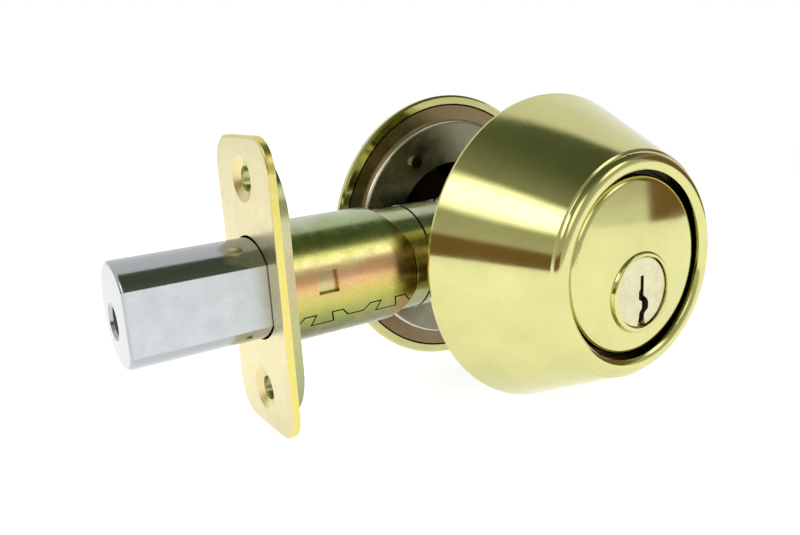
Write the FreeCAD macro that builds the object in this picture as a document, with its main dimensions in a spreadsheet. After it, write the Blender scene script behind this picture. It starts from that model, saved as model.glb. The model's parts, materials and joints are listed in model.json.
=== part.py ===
import FreeCAD, Part
import math
import os
import re
import Sketcher
from FreeCAD import Placement, Rotation, Vector

# Deadbolt door lock, thrown.  Millimetres.
# Origin: centre of the faceplate's front face, on the bolt's axis.
# -X: the way the bolt is thrown.  -Y: the keyed, outdoor side.  +Z: up.

doc = FreeCAD.newDocument("deadbolt")
sheet = doc.addObject("Spreadsheet::Sheet", "Sizes")

SIZES = [
    # The door, the axes and general clearances
    ("backset", 60.3, "door edge to the centre of the cross bore"),
    ("door_half", 17.5, "half of the door's thickness"),
    ("drop", 4.8, "turning axis below the bolt's axis"),
    ("throw", 25.4, "bolt travel"),
    ("screw_half", 19.05, "mounting screws, each side of the cross bore's centre"),
    ("run_gap", 0.08, "radial clearance of a running fit"),
    ("slide_gap", 0.05, "clearance each side of a flat blade in its slot"),
    ("beyond", 60.0, "past every piece, for cuts that go right through"),
    # Faceplate and backplate
    ("face_width", 25.4, "faceplate width"),
    ("face_height", 57.15, "faceplate height"),
    ("face_corner", 6.35, "faceplate corner radius"),
    ("face_depth", 1.4, "faceplate thickness"),
    ("face_edge", 0.5, "faceplate's rounded front edge"),
    ("wood_screw_half", 20.65, "wood screw holes, above and below the bolt"),
    ("wood_screw_r", 2.4, "wood screw hole radius"),
    ("sink_r", 4.4, "countersink radius at the faceplate's front"),
    ("sink_depth", 0.9, "countersink depth"),
    ("back_width", 24.8, "backplate width"),
    ("back_height", 52.2, "backplate height"),
    ("back_corner", 12.35, "backplate corner radius"),
    ("back_depth", 1.8, "backplate thickness"),
    ("back_hole_r", 2.7, "backplate screw hole radius"),
    ("plate_gap", 0.35, "gap around the bolt in the plates"),
    # Bolt, its guard pin and the drive bar
    ("bolt_r", 9.75, "bolt radius"),
    ("bolt_flat", 7.9, "bolt's flat from its axis"),
    ("bolt_edge", 0.7, "bolt's rounded end edges"),
    ("bolt_shoulder", 4.5, "where the bolt's full section ends"),
    ("bolt_rear", 12.2, "bolt's rear end"),
    ("tongue_r", 8.8, "radius of the bolt's rear section"),
    ("tongue_half", 6.9, "half width of the bolt's rear section"),
    ("bar_slot_half", 3.65, "half width of the slot for the drive bar"),
    ("bar_slot_low", 2.6, "floor of the slot for the drive bar"),
    ("tip_hole_r", 2.9, "hole in the bolt's tip"),
    ("tip_hole_y", 2.2, "hole in the bolt's tip, towards the indoor side"),
    ("tip_hole_drop", 1.5, "hole in the bolt's tip, below the axis"),
    ("tip_hole_depth", 22.0, "depth of the hole in the bolt's tip"),
    ("tip_sink", 0.6, "chamfer of the hole in the bolt's tip"),
    ("guard_inset", 1.6, "guard pin's end behind the bolt's tip"),
    ("guard_gap", 0.06, "radial clearance of the guard pin"),
    ("bar_pin_r", 1.2, "radius of the pin that holds the drive bar"),
    ("bar_pin_x", 9.5, "that pin behind the faceplate's front"),
    ("bar_pin_z", 5.2, "that pin above the bolt's axis"),
    ("bar_pin_inset", 0.8, "that pin's ends inside the bolt's sides"),
    ("bar_in", 2.1, "drive bar's cheeks, inner face"),
    ("bar_out", 3.5, "drive bar's cheeks, outer face"),
    ("bar_front", 5.4, "drive bar's front end"),
    ("bar_low", 3.2, "drive bar's lower edge"),
    ("bar_high", 7.4, "drive bar's upper edge"),
    ("bar_eye", 3.0, "drive bar's metal round the drive pin, each way"),
    ("bar_eye_high", 9.3, "drive bar's upper edge at the drive pin"),
    ("bar_web_end", 24.0, "rear end of the web between the cheeks"),
    ("bar_web_depth", 1.2, "thickness of the web between the cheeks"),
    ("pin_rise", 7.6, "drive pin above the bolt's axis"),
    ("drive_pin_r", 1.4, "drive pin radius"),
    ("drive_pin_over", 0.3, "drive pin's ends outside the cheeks"),
    # Latch tube and inner sleeve
    ("tube_r", 11.9, "latch tube radius"),
    ("tube_wall", 0.9, "latch tube wall"),
    ("tube_end", 30.0, "latch tube's rear end, at the bolt's height"),
    ("tube_nose", 16.6, "radius of the tube's rear end, seen from the side"),
    ("window", 4.2, "side of the square window in the tube"),
    ("window_x", 10.0, "window centre behind the faceplate's front"),
    ("window_z", 1.4, "window centre above the bolt's axis"),
    ("seam_gap", 0.3, "open seam in the latch tube"),
    ("tab_first", 9.0, "first dovetail tab of the seam, behind the front"),
    ("tab_pitch", 14.0, "distance between the seam's tabs"),
    ("tab_half", 4.0, "half length of a tab"),
    ("tab_slant", 1.3, "slant of a tab's outer end"),
    ("tab_neck", 0.35, "undercut of a tab"),
    ("sleeve_r", 10.9, "inner sleeve radius"),
    ("sleeve_wall", 0.85, "inner sleeve wall"),
    ("sleeve_front", 4.2, "inner sleeve's front end"),
    ("sleeve_end", 33.8, "inner sleeve's rear end"),
    # Cam case, its rivets and the detent spring
    ("case_r", 11.0, "cam case radius"),
    ("case_wall", 0.8, "cam case wall"),
    ("neck_r", 10.0, "cam case neck, inside the sleeve"),
    ("neck_front", 30.6, "cam case's front end"),
    ("case_front", 34.2, "where the cam case leaves the sleeve"),
    ("case_narrow", 44.5, "where the cam case narrows"),
    ("case_end", 84.0, "cam case's rear end"),
    ("case_wide_half", 9.1, "half width of the cam case's front"),
    ("case_half", 6.6, "half width of the cam case at the cam"),
    ("case_screw_r", 2.45, "cam case's holes for the mounting screws"),
    ("case_slot_half", 18.5, "half length of the cam's opening in the case"),
    ("rivet_r", 1.3, "rivet radius"),
    ("rivet_head_r", 2.1, "rivet head radius"),
    ("rivet_head", 0.7, "rivet head height"),
    ("leaf_front", 54.0, "detent spring's front end"),
    ("leaf_rear", 67.0, "detent spring's rear end"),
    ("leaf_half", 2.2, "detent spring's half width"),
    ("leaf_drop", 9.55, "detent spring's top face, below the bolt's axis"),
    ("leaf_depth", 0.35, "detent spring's thickness"),
    # Cam and tailpiece
    ("cam_half", 1.6, "half thickness of the cam"),
    ("cam_gap", 0.4, "gap each side of the cam in the case's opening"),
    ("cam_slot_half", 2.6, "half width of the cam's slot"),
    ("cam_slot_in", 11.3, "inner end of the cam's slot"),
    ("cam_slot_out", 18.3, "outer end of the cam's slot"),
    ("cam_rim", 1.5, "cam's rim round the slot"),
    ("journal_r", 3.6, "cam's journals"),
    ("journal_over", 0.2, "cam's journals outside the case"),
    ("blade_half", 0.9, "half thickness of the tailpiece"),
    ("blade_wide", 2.5, "half width of the tailpiece"),
    ("blade_start", 15.3, "tailpiece's outdoor end, from the door's middle"),
    ("blade_reach", 8.0, "tailpiece's indoor end, past the door's face"),
    ("tail_head_r", 5.2, "radius of the tailpiece's head"),
    ("tail_head_y", 13.5, "outdoor face of the tailpiece's head"),
    ("tail_head_depth", 0.45, "thickness of the tailpiece's head"),
    # Cylinder collar
    ("collar_r", 32.1, "collar radius at the door"),
    ("collar_wall", 2.2, "collar wall"),
    ("collar_land", 0.5, "straight edge of the collar at the door"),
    ("groove_r", 21.6, "collar radius at the lip"),
    ("groove_y", 39.7, "start of the lip, from the door's middle"),
    ("groove_depth", 0.25, "groove between the collar's cone and its lip"),
    ("lip_in_r", 18.1, "lip's inner radius"),
    ("lip_round", 1.9, "lip's rounding"),
    ("lip_rise", 0.8, "lip's front, past the groove"),
    ("lip_depth", 2.6, "lip's thickness at its inner edge"),
    # Cylinder housing
    ("disc_r", 17.2, "cylinder's front disc radius"),
    ("disc_top", 41.3, "front disc's middle, from the door's middle"),
    ("disc_round", 1.5, "front disc's rounded edge"),
    ("dome_r", 110.0, "front disc's dome radius"),
    ("flange_front", 37.6, "front of the flange behind the collar's lip"),
    ("flange_back", 36.2, "back of the front disc"),
    ("flange_over", 2.8, "width of the flange behind the collar's lip"),
    ("ring_r", 7.75, "raised ring around the plug"),
    ("ring_y", 41.75, "ring's top, from the door's middle"),
    ("ring_round", 0.4, "ring's rounded edge"),
    ("ring_foot_r", 8.15, "ring's foot, at the back of its flank"),
    ("ring_foot_y", 40.3, "back of the ring's flank"),
    ("barrel_r", 9.3, "cylinder barrel radius"),
    ("barrel_back", 15.0, "cylinder barrel's back end"),
    ("tower_half", 3.6, "half width of the pin tower"),
    ("tower_back", 16.5, "pin tower's back end"),
    ("tower_foot", 5.0, "pin tower's foot above the plug's axis"),
    ("tower_top", 12.2, "pin tower's top above the bolt's axis"),
    ("post_r", 3.6, "threaded post radius"),
    ("post_hole_r", 2.06, "post's tapped hole"),
    ("post_front", 30.5, "post's front end"),
    ("post_floor", 0.5, "metal at the blind end of the tapped hole"),
    ("post_back", 9.6, "post's back end"),
    ("web_front", 34.0, "front of the webs that carry the posts"),
    ("web_back", 27.0, "back of the webs that carry the posts"),
    ("web_half", 1.6, "half thickness of those webs"),
    # Key plug, pins and springs
    ("plug_r", 6.35, "key plug radius"),
    ("plug_y", 41.35, "key plug's face, from the door's middle"),
    ("plug_head_r", 6.8, "key plug's head radius"),
    ("plug_head_depth", 0.9, "key plug's head thickness"),
    ("plug_edge", 0.25, "key plug's rounded face edge"),
    ("plug_head_gap", 0.15, "gap around the key plug's head"),
    ("plug_tail_r", 5.6, "key plug's back end, inside its cap"),
    ("plug_tail_back", 13.6, "key plug's back end"),
    ("keyway_back", 17.0, "back end of the keyway"),
    ("tail_slot_depth", 2.0, "depth of the slot for the tailpiece"),
    ("chamber_r", 1.5, "pin chamber radius"),
    ("chamber_first", 35.4, "first pin chamber, from the door's middle"),
    ("chamber_pitch", 3.97, "distance between pin chambers"),
    ("chamber_foot", 0.4, "chamber's end in the plug, above its axis"),
    ("chamber_top", 11.4, "chamber's top above the bolt's axis"),
    ("cover_half", 2.2, "half width of the strip over the chambers"),
    ("cover_front", 37.0, "front end of the strip over the chambers"),
    ("pin_r", 1.42, "pin radius"),
    ("key_pin_top", 6.1, "key pins' top above the plug's axis"),
    ("driver_foot", 6.7, "driver pins' foot above the plug's axis"),
    ("driver_top", 10.6, "driver pins' top above the plug's axis"),
    ("spring_gap", 0.1, "radial gap round a pin spring"),
    ("spring_wall", 0.35, "radial thickness of a pin spring"),
    ("cap_r", 7.6, "plug cap radius"),
    ("cap_front", 14.85, "plug cap's front"),
    ("cap_back", 11.9, "plug cap's back"),
    ("cap_floor", 12.9, "inside of the plug cap"),
    ("cap_thread_gap", 0.02, "radial clearance of the plug cap's thread"),
    ("cap_mouth_r", 3.2, "hole for the tailpiece in the plug cap"),
    # Interior rose, mounting plate and screws
    ("rose_r", 32.4, "interior rose radius"),
    ("rose_in_r", 30.4, "inside of the rose's rim"),
    ("rose_rim", 1.6, "depth of the rose's rim"),
    ("rose_rise", 11.0, "rose's height above the door"),
    ("rose_wall", 1.1, "rose wall"),
    ("rose_top_r", 26.6, "where the rose's cone meets its crown"),
    ("rose_crown_r", 25.0, "flat crown of the rose"),
    ("rose_round", 1.6, "rounding of the rose's crown"),
    ("rose_foot_r", 31.0, "where the rose's cone meets its bead"),
    ("rose_bead", 0.8, "rose's bead radius at the door"),
    ("rose_bead_y", 2.2, "top of that bead above the door"),
    ("rose_edge", 0.5, "rose's chamfer at the door"),
    ("rose_screw_away", 20.6, "rose screws from the cross bore's centre"),
    ("rose_screw_angle", 122.0, "direction of the first rose screw, in degrees"),
    ("rose_hole_r", 1.7, "rose screw holes"),
    ("rose_sink_r", 2.9, "countersinks of the rose screw holes"),
    ("rose_screw_r", 1.5, "rose screw radius"),
    ("rose_screw_head_r", 2.7, "rose screw head radius"),
    ("rose_screw_end", 15.4, "rose screw's point, from the door's middle"),
    ("plate_r", 30.0, "mounting plate radius"),
    ("plate_step_r", 26.7, "mounting plate's step into the cross bore"),
    ("plate_step_in_r", 25.1, "inside of that step, seen from indoors"),
    ("plate_step", 1.3, "depth of that step"),
    ("plate_round", 0.9, "rounded edge of that step"),
    ("plate_hole_r", 16.5, "mounting plate's centre hole"),
    ("plate_wall", 1.5, "mounting plate thickness"),
    ("plate_seat", 0.05, "gap between the mounting plate and the door"),
    ("plate_screw_gap", 0.25, "clearance round the mounting screws"),
    ("screw_r", 2.05, "mounting screw radius"),
    ("screw_end", 27.0, "mounting screw's point, from the door's middle"),
    ("screw_head_r", 3.9, "mounting screw head radius"),
    ("screw_head", 2.6, "mounting screw head height"),
    ("screw_head_round", 1.2, "rounding of the mounting screw's head"),
    ("slot_half", 0.5, "half width of the mounting screw's slot"),
    ("slot_reach", 3.2, "half length of the mounting screw's slot"),
    ("slot_floor", 1.4, "floor of that slot above the head's seat"),
    ("rose_slot_half", 0.35, "half width of the rose screw's slot"),
    ("rose_slot_depth", 0.6, "depth of the rose screw's slot"),
    # Thumbturn, its clip and its washer
    ("shaft_r", 5.0, "thumbturn shaft radius"),
    ("shaft_start", 3.0, "thumbturn shaft's end, past the door's face"),
    ("shaft_slot_end", 8.4, "end of the shaft's slot, past the door's face"),
    ("turn_gap", 0.4, "gap between the thumbturn and the rose"),
    ("turn_foot_r", 9.6, "thumbturn's round foot"),
    ("turn_foot", 2.6, "height of the thumbturn's foot"),
    ("turn_neck", 6.5, "half length of the thumbturn's grip at its foot"),
    ("turn_long", 17.0, "half length of the thumbturn's grip at its top"),
    ("turn_thick", 3.9, "half thickness of the thumbturn's grip"),
    ("turn_rise", 19.0, "thumbturn's height above the rose"),
    ("turn_crown", 3.2, "drop of the grip's top towards its ends"),
    ("turn_flank", 26.0, "radius of the grip's hollow flanks"),
    ("turn_round", 1.4, "rounded edges of the thumbturn"),
    ("clip_groove_y", 7.4, "clip groove, past the door's face"),
    ("clip_groove_width", 0.8, "width of the clip groove"),
    ("clip_groove_depth", 0.7, "depth of the clip groove"),
    ("clip_r", 7.4, "clip radius"),
    ("clip_gap", 0.05, "clearance of the clip in its groove"),
    ("clip_mouth_half", 3.4, "half width of the clip's mouth"),
    ("clip_mouth_start", 2.0, "clip's mouth starts below the axis"),
    ("washer_r", 8.2, "spring washer radius"),
    ("washer_y", 8.4, "spring washer, past the door's face"),
    ("washer_depth", 1.0, "height of the spring washer"),
    ("washer_gap", 0.1, "radial clearance of the spring washer"),
]

for row, (alias, value, note) in enumerate(SIZES, start=1):
    sheet.set("A%d" % row, note)
    sheet.set("B%d" % row, str(value))
    sheet.setAlias("B%d" % row, alias)
doc.recompute()

ALIASES = {alias for alias, _, _ in SIZES}
FACING = {
    "X": Rotation(Vector(0, 1, 0), 90),
    "Y": Rotation(Vector(1, 0, 0), -90),
    "Z": Rotation(),
}
parts = []


def size(alias):
    """A size from the sheet, as a plain number."""
    return float(sheet.get(alias))


def linked(formula):
    """A formula in sheet aliases, written as an expression on the sheet."""
    return re.sub(r"[a-z_]+[a-z]", lambda m: "Sizes." + m.group(0) if m.group(0) in ALIASES
                  else m.group(0), str(formula))


def number(formula):
    """The value that a formula in sheet aliases has now."""
    value = sheet.evalExpression(linked(formula))
    return float(getattr(value, "Value", value))


def bind(item, prop, formula):
    item.setExpression(prop, linked(formula))


def place(item, x, y, z, facing="Z"):
    """Put an object's origin at three formulas, with its own Z along an axis."""
    item.Placement = Placement(Vector(0, 0, 0), FACING[facing])
    for axis, formula in zip("xyz", (x, y, z)):
        bind(item, "Placement.Base." + axis, formula)
    return item


def rod(name, radius, axis, start, end, across, up):
    """A cylinder along X, Y or Z from start to end.  The other two formulas
    are its axis's place on the remaining two axes, in X, Y, Z order."""
    item = doc.addObject("Part::Cylinder", name)
    bind(item, "Radius", radius)
    bind(item, "Height", "(%s) - (%s)" % (end, start))
    where = {"X": (start, across, up), "Y": (across, start, up), "Z": (across, up, start)}
    return place(item, *where[axis], facing=axis)


def cone(name, radius_1, radius_2, axis, start, end, across, up):
    item = doc.addObject("Part::Cone", name)
    bind(item, "Radius1", radius_1)
    bind(item, "Radius2", radius_2)
    bind(item, "Height", "(%s) - (%s)" % (end, start))
    where = {"X": (start, across, up), "Y": (across, start, up), "Z": (across, up, start)}
    return place(item, *where[axis], facing=axis)


def block(name, x, y, z):
    """A box from three (low, high) pairs of formulas."""
    item = doc.addObject("Part::Box", name)
    for prop, (low, high) in zip(("Length", "Width", "Height"), (x, y, z)):
        bind(item, prop, "(%s) - (%s)" % (high, low))
    return place(item, x[0], y[0], z[0])


def join(name, shapes):
    item = doc.addObject("Part::MultiFuse", name)
    item.Shapes = shapes
    item.Refine = True
    return item


def overlap(name, shapes):
    item = doc.addObject("Part::MultiCommon", name)
    item.Shapes = shapes
    return item


def cut(name, base, tools):
    item = doc.addObject("Part::Cut", name)
    item.Base = base
    item.Tool = tools[0] if len(tools) == 1 else join(name + "_tools", tools)
    return item


def rounded(name, base, radius, chosen):
    """Round the edges of base for which chosen(edge) is true."""
    doc.recompute()
    item = doc.addObject("Part::Fillet", name)
    item.Base = base
    found = [(i, radius, radius) for i, edge in enumerate(base.Shape.Edges, 1) if chosen(edge)]
    assert found, name
    item.Edges = found
    return item


def sub_part(item, label):
    """Name a finished object; its shape becomes parts/label.step."""
    item.Label = label
    parts.append(item)
    return item


def body(name, x="0", y="0", z="0"):
    item = doc.addObject("PartDesign::Body", name)
    return place(item, x, y, z)


def origin_plane(owner, role):
    return next(f for f in owner.Origin.OriginFeatures if f.Role == role)


def outline(owner, name, role, points):
    """A closed outline through points, given as pairs of formulas.  A point
    with a third entry starts an arc of that radius, whose centre is to the
    left of the way round (a fourth entry of -1: to the right)."""
    sketch = owner.newObject("Sketcher::SketchObject", name)
    sketch.AttachmentSupport = [(origin_plane(owner, role), "")]
    sketch.MapMode = "FlatFace"
    spots = [Vector(number(p[0]), number(p[1]), 0) for p in points]
    ends = []
    for i, point in enumerate(points):
        here, there = spots[i], spots[(i + 1) % len(points)]
        if len(point) == 2:
            ends.append((sketch.addGeometry(Part.LineSegment(here, there)), 1, 2))
            continue
        side = point[3] if len(point) > 3 else 1
        radius = number(point[2])
        chord = there - here
        left = Vector(-chord.y, chord.x, 0).normalize() * side
        centre = (here + there) * 0.5 + left * math.sqrt(radius ** 2 - (chord.Length / 2) ** 2)
        first, last = (here, there) if side > 0 else (there, here)
        angles = [math.atan2(p.y - centre.y, p.x - centre.x) for p in (first, last)]
        circle = Part.Circle(centre, Vector(0, 0, 1), radius)
        index = sketch.addGeometry(Part.ArcOfCircle(circle, *angles))
        ends.append((index, 1, 2) if side > 0 else (index, 2, 1))
        label = "round%d" % i
        sketch.addConstraint(Sketcher.Constraint("Radius", index, radius))
        sketch.renameConstraint(sketch.ConstraintCount - 1, label)
        bind(sketch, "Constraints." + label, point[2])
    for i, (index, start, end) in enumerate(ends):
        after, after_start, _ = ends[(i + 1) % len(ends)]
        sketch.addConstraint(Sketcher.Constraint("Coincident", index, end, after, after_start))
        for kind, axis, value, formula in (("DistanceX", "across", spots[i].x, points[i][0]),
                                           ("DistanceY", "up", spots[i].y, points[i][1])):
            label = "%s%d" % (axis, i)
            sketch.addConstraint(Sketcher.Constraint(kind, index, start, value))
            sketch.renameConstraint(sketch.ConstraintCount - 1, label)
            bind(sketch, "Constraints." + label, formula)
    return sketch


def turned(owner, name, role, points):
    """Revolve an outline about its sketch's vertical axis."""
    sketch = outline(owner, name + "_outline", role, points)
    item = owner.newObject("PartDesign::Revolution", name)
    item.Profile = sketch
    item.ReferenceAxis = (sketch, ["V_Axis"])
    item.Angle = 360
    return item


def padded(owner, name, role, points, length, midplane=False, reverse=False):
    item = owner.newObject("PartDesign::Pad", name)
    item.Profile = outline(owner, name + "_outline", role, points)
    bind(item, "Length", length)
    item.Midplane = midplane
    item.Reversed = reverse
    return item


def pocketed(owner, name, role, points, length, midplane=False, reverse=False):
    """Cut an outline out of a body, and check that it does cut."""
    doc.recompute()
    before = owner.Shape.Volume
    item = owner.newObject("PartDesign::Pocket", name)
    item.Profile = outline(owner, name + "_outline", role, points)
    bind(item, "Length", length)
    item.Midplane = midplane
    item.Reversed = reverse
    doc.recompute()
    assert owner.Shape.Volume < before - 0.01, name
    return item


def eased(owner, name, feature, radius, chosen):
    """Fillet the edges of a body's last feature for which chosen(edge) is true."""
    doc.recompute()
    found = ["Edge%d" % i for i, edge in enumerate(feature.Shape.Edges, 1) if chosen(edge)]
    assert found, name
    item = owner.newObject("PartDesign::Fillet", name)
    item.Base = (feature, found)
    bind(item, "Radius", radius)
    return item


def circle_at(axis, value, radius=None, slack=0.01):
    """A test for round edges in the plane where one coordinate has a value."""
    def test(edge):
        if not isinstance(edge.Curve, Part.Circle):
            return False
        level = getattr(edge.Curve.Center, axis.lower())
        return abs(level - value) < slack and (radius is None or abs(edge.Curve.Radius - radius) < slack)
    return test


def flat_at(axis, value, slack=0.01):
    """A test for edges that lie wholly in the plane where one coordinate has a value."""
    def test(edge):
        box = edge.BoundBox
        low, high = getattr(box, axis + "Min"), getattr(box, axis + "Max")
        return abs(low - value) < slack and abs(high - value) < slack
    return test


# ---- Faceplate and backplate ---------------------------------------------

THROUGH = ("-beyond", "beyond")
UP_AND_DOWN = (("upper", 1), ("lower", -1))
FRONT_AND_REAR = (("front", -1), ("rear", 1))


def bolt_hole(name):
    """The bolt's own section, larger by the gap all round."""
    bar = rod(name + "_round", "bolt_r + plate_gap", "X", *THROUGH, "0", "0")
    side = block(name + "_side", THROUGH, ("-bolt_flat - plate_gap", "beyond"), THROUGH)
    return overlap(name, [bar, side])


def plate_blank(owner, name, width, height, corner, thickness):
    """A plate across the bolt, with round corners."""
    w, t, c = "(%s) / 2" % width, "(%s) / 2" % height, "(%s)" % corner
    points = [
        ("%s - %s" % (w, c), "-(%s)" % t, c),
        (w, "-(%s) + %s" % (t, c)),
        (w, "%s - %s" % (t, c), c),
        ("%s - %s" % (w, c), t),
        ("-(%s) + %s" % (w, c), t, c),
        ("-(%s)" % w, "%s - %s" % (t, c)),
        ("-(%s)" % w, "-(%s) + %s" % (t, c), c),
        ("-(%s) + %s" % (w, c), "-(%s)" % t),
    ]
    return padded(owner, name, "YZ_Plane", points, thickness)


def wood_holes(name, radius):
    return [rod("%s_%s" % (name, place_name), radius, "X", *THROUGH, "0", "%d * wood_screw_half" % side)
            for place_name, side in UP_AND_DOWN]


face_body = body("face_body")
face_blank = plate_blank(face_body, "face_blank", "face_width", "face_height", "face_corner", "face_depth")
eased(face_body, "face_round", face_blank, "face_edge", flat_at("X", 0))
sinks = [cone("sink_" + name, "sink_r", "wood_screw_r", "X", "0", "sink_depth", "0",
              "%d * wood_screw_half" % side) for name, side in UP_AND_DOWN]
face_cuts = [bolt_hole("face_bolt_hole")] + wood_holes("wood_hole", "wood_screw_r") + sinks
sub_part(cut("faceplate_cut", face_body, face_cuts), "faceplate")

back_body = body("back_body", x="face_depth")
plate_blank(back_body, "back_blank", "back_width", "back_height", "back_corner", "back_depth")
back_cuts = [bolt_hole("back_bolt_hole")] + wood_holes("back_hole", "back_hole_r")
sub_part(cut("backplate_cut", back_body, back_cuts), "backplate")

# ---- Latch tube, inner sleeve and cam case -------------------------------

TUBE_FRONT = "face_depth + back_depth"
SEAM_LOW, SEAM_LINE, SEAM_HIGH = (math.radians(angle) for angle in (-34.5, -30.5, -23.0))


def seam_path():
    """The seam's zigzag, as distances along the tube and angles round it: two
    dovetail tabs, each with a slanting outer end and an undercut neck."""
    half, slant, neck = size("tab_half"), size("tab_slant"), size("tab_neck")
    path = [(number(TUBE_FRONT) - slant, SEAM_LINE)]
    for tab in range(2):
        middle = size("tab_first") + tab * size("tab_pitch")
        path += [
            (middle - half - slant, SEAM_LINE),
            (middle - half, SEAM_HIGH),
            (middle - half / 2 + neck, SEAM_HIGH),
            (middle - half / 2 - neck, SEAM_LOW),
            (middle + half / 2 + neck, SEAM_LOW),
            (middle + half / 2 - neck, SEAM_HIGH),
            (middle + half, SEAM_HIGH),
            (middle + half + slant, SEAM_LINE),
        ]
    path.append((size("tube_end") + slant, SEAM_LINE))
    return path


def seam_cutter(name):
    """The open seam where the rolled tube's two edges lock into each other,
    low on the outdoor side: a thin wall along the zigzag, square to the tube."""
    facing = (SEAM_LOW + SEAM_HIGH) / 2
    out = Vector(0, -math.cos(facing), math.sin(facing))
    across = Vector(0, math.sin(facing), math.cos(facing))
    radius, half_gap = size("tube_r"), size("seam_gap") / 2
    inner, outer = radius - 3 * size("tube_wall"), radius + size("tube_wall")
    flat = [Vector(x, 0, 0) + across * (radius * math.sin(angle - facing)) for x, angle in seam_path()]
    pieces = []
    for start, end in zip(flat, flat[1:]):
        run = (end - start).normalize() * half_gap
        side = run.cross(out)
        corners = [start - run - side, end + run - side, end + run + side, start - run + side]
        base = [corner + out * inner for corner in corners]
        face = Part.Face(Part.makePolygon(base + base[:1]))
        pieces.append(face.extrude(out * (outer - inner)))
    item = doc.addObject("Part::Feature", name)
    item.Shape = pieces[0].multiFuse(pieces[1:])
    return item


tube_nose = join("tube_nose", [
    rod("tube_nose_end", "tube_nose", "Y", *THROUGH, "tube_end - tube_nose", "0"),
    block("tube_nose_front", ("0", "tube_end - tube_nose"), THROUGH, THROUGH),
])
tube_blank = rod("tube_blank", "tube_r", "X", TUBE_FRONT, "tube_end + 0.1", "0", "0")
tube_cuts = [
    rod("tube_bore", "tube_r - tube_wall", "X", *THROUGH, "0", "0"),
    block("tube_window", ("window_x - window / 2", "window_x + window / 2"), ("-beyond", "0"),
          ("window_z - window / 2", "window_z + window / 2")),
    seam_cutter("tube_seam"),
]
sub_part(cut("tube_cut", overlap("tube_trimmed", [tube_blank, tube_nose]), tube_cuts), "latch_tube")

sleeve_blank = rod("sleeve_blank", "sleeve_r", "X", "sleeve_front", "sleeve_end", "0", "0")
sleeve_bore = rod("sleeve_bore", "sleeve_r - sleeve_wall", "X", *THROUGH, "0", "0")
sub_part(cut("sleeve_cut", sleeve_blank, [sleeve_bore]), "inner_sleeve")


def case_solid(name, skin, front):
    """The cam case's outside, smaller by skin all round: a neck that fits the
    sleeve, a wide front and a narrow rear with flat sides."""
    wide_front = "case_front + (%s)" % skin
    stretches = [
        ("neck", "neck_r", "case_wide_half", front, "case_front + 2 * case_wall"),
        ("wide", "case_r", "case_wide_half", wide_front, "case_narrow - (%s)" % skin),
        ("rear", "case_r", "case_half", wide_front, "case_end - (%s)" % skin),
    ]
    solids = []
    for part, radius, half, start, stop in stretches:
        bar = rod("%s_%s_bar" % (name, part), "%s - (%s)" % (radius, skin), "X", start, stop, "0", "0")
        slab = block("%s_%s_slab" % (name, part), (start, stop),
                     ("-(%s) + (%s)" % (half, skin), "%s - (%s)" % (half, skin)), THROUGH)
        solids.append(overlap("%s_%s" % (name, part), [bar, slab]))
    return join(name, solids)


RIVETS = [("backset + 21.3", "3.6"), ("backset - 9.1", "-6.2"), ("backset + 10.3", "-6.2")]
case_outside = case_solid("case_outside", "0", "neck_front")
case_inside = case_solid("case_inside", "case_wall", "neck_front - case_wall")
case_holes = [
    rod("cam_hole", "journal_r + run_gap", "Y", *THROUGH, "backset", "-drop"),
    block("cam_slot", ("backset - case_slot_half", "backset + case_slot_half"),
          ("-cam_half - cam_gap", "cam_half + cam_gap"), ("case_r / 2", "beyond")),
]
for name, side in FRONT_AND_REAR:
    case_holes.append(rod("case_screw_hole_" + name, "case_screw_r", "Y", *THROUGH,
                          "backset + %d * screw_half" % side, "-drop"))
for i, (x, z) in enumerate(RIVETS):
    case_holes.append(rod("rivet_hole%d" % i, "rivet_r", "Y", *THROUGH, x, z))
case_shell = cut("case_shell", case_outside, [case_inside] + case_holes)
for label, sides in (("cam_case_exterior", ("-beyond", "0")), ("cam_case_interior", ("0", "beyond"))):
    half_space = block(label + "_half", ("0", "2 * beyond"), sides, THROUGH)
    sub_part(overlap(label + "_common", [case_shell, half_space]), label)

rivets = []
for i, (x, z) in enumerate(RIVETS):
    rivets += [
        rod("rivet_shank%d" % i, "rivet_r", "Y", "-case_half", "case_half", x, z),
        rod("rivet_out%d" % i, "rivet_head_r", "Y", "-case_half - rivet_head", "-case_half", x, z),
        rod("rivet_in%d" % i, "rivet_head_r", "Y", "case_half", "case_half + rivet_head", x, z),
    ]
sub_part(join("rivets", rivets), "case_rivets")

# The detent spring is a leaf along the floor of the cam case.
sub_part(block("leaf", ("leaf_front", "leaf_rear"), ("-leaf_half", "leaf_half"),
               ("-leaf_drop - leaf_depth", "-leaf_drop")), "detent_spring")

# ---- Bolt ----------------------------------------------------------------

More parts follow.
